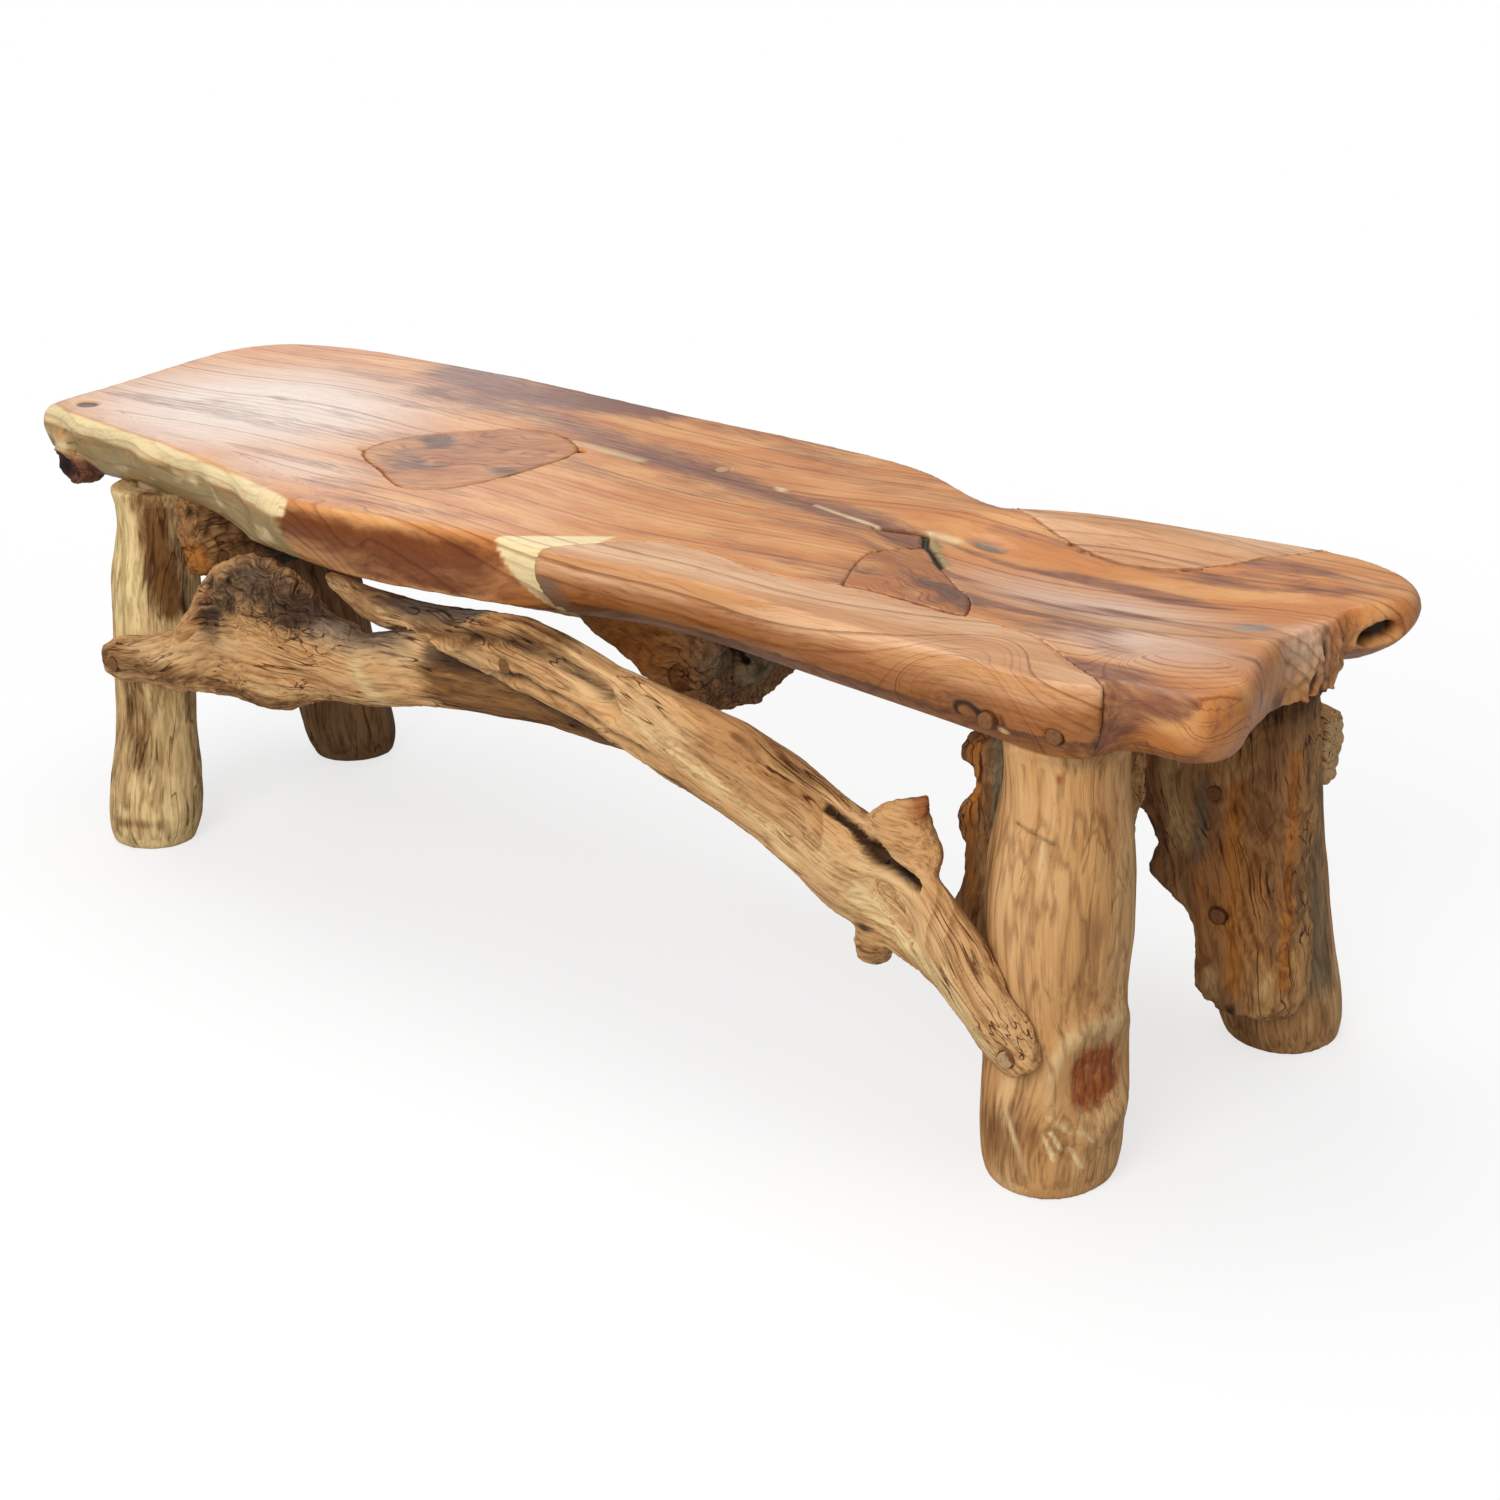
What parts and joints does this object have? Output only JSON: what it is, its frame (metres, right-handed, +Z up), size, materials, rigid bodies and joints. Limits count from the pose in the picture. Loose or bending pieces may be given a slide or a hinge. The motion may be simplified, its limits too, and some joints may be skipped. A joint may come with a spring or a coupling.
{
  "type": "rustic log bench",
  "caption": "Rustic backless bench: dished live-edge teak slab with inlaid patches and edge boards on peeled log legs, tied by root and branch stretchers.",
  "frame": {"origin": "on the ground under the middle of the bench's bounding box", "axes": "+X along the bench, +Y to the back, +Z up"},
  "size_m": [1.4531, 0.5009, 0.45],
  "materials": {
    "seat_teak": "sanded and oiled teak",
    "inlay_teak": "sanded and oiled teak",
    "edge_board_teak": "sanded and oiled teak",
    "leg_log_pale": "peeled teak log, weathered",
    "leg_log_dark": "peeled teak log, weathered",
    "leg_log_tan": "peeled teak log, weathered",
    "branch_wood": "weathered teak branch",
    "root_wood": "weathered teak root",
    "dowel_wood": "turned hardwood",
    "screw_steel": "zinc-plated steel",
    "plug_wood": "end-grain wood plug"
  },
  "bodies": {
    "root": {"seat_slab": "seat_teak", "seat_inlay": "inlay_teak", "seat_round_patch": "inlay_teak", "front_edge_board": "edge_board_teak", "rear_edge_board": "edge_board_teak", "front_left_leg": "leg_log_pale", "rear_left_leg": "leg_log_dark", "front_right_leg": "leg_log_tan", "rear_right_leg": "leg_log_tan", "front_left_stretcher": "branch_wood", "front_arch_brace": "branch_wood", "left_end_root": "root_wood", "centre_root_block": "root_wood", "rear_stretcher": "branch_wood", "front_right_root_bracket": "root_wood", "rear_right_root_panel": "root_wood", "leg_dowels": "dowel_wood", "edge_board_dowels": "dowel_wood", "frame_screws": "screw_steel", "seat_screws": "screw_steel", "frame_plugs": "plug_wood", "seat_plugs": "plug_wood"}
  },
  "joints": []
}
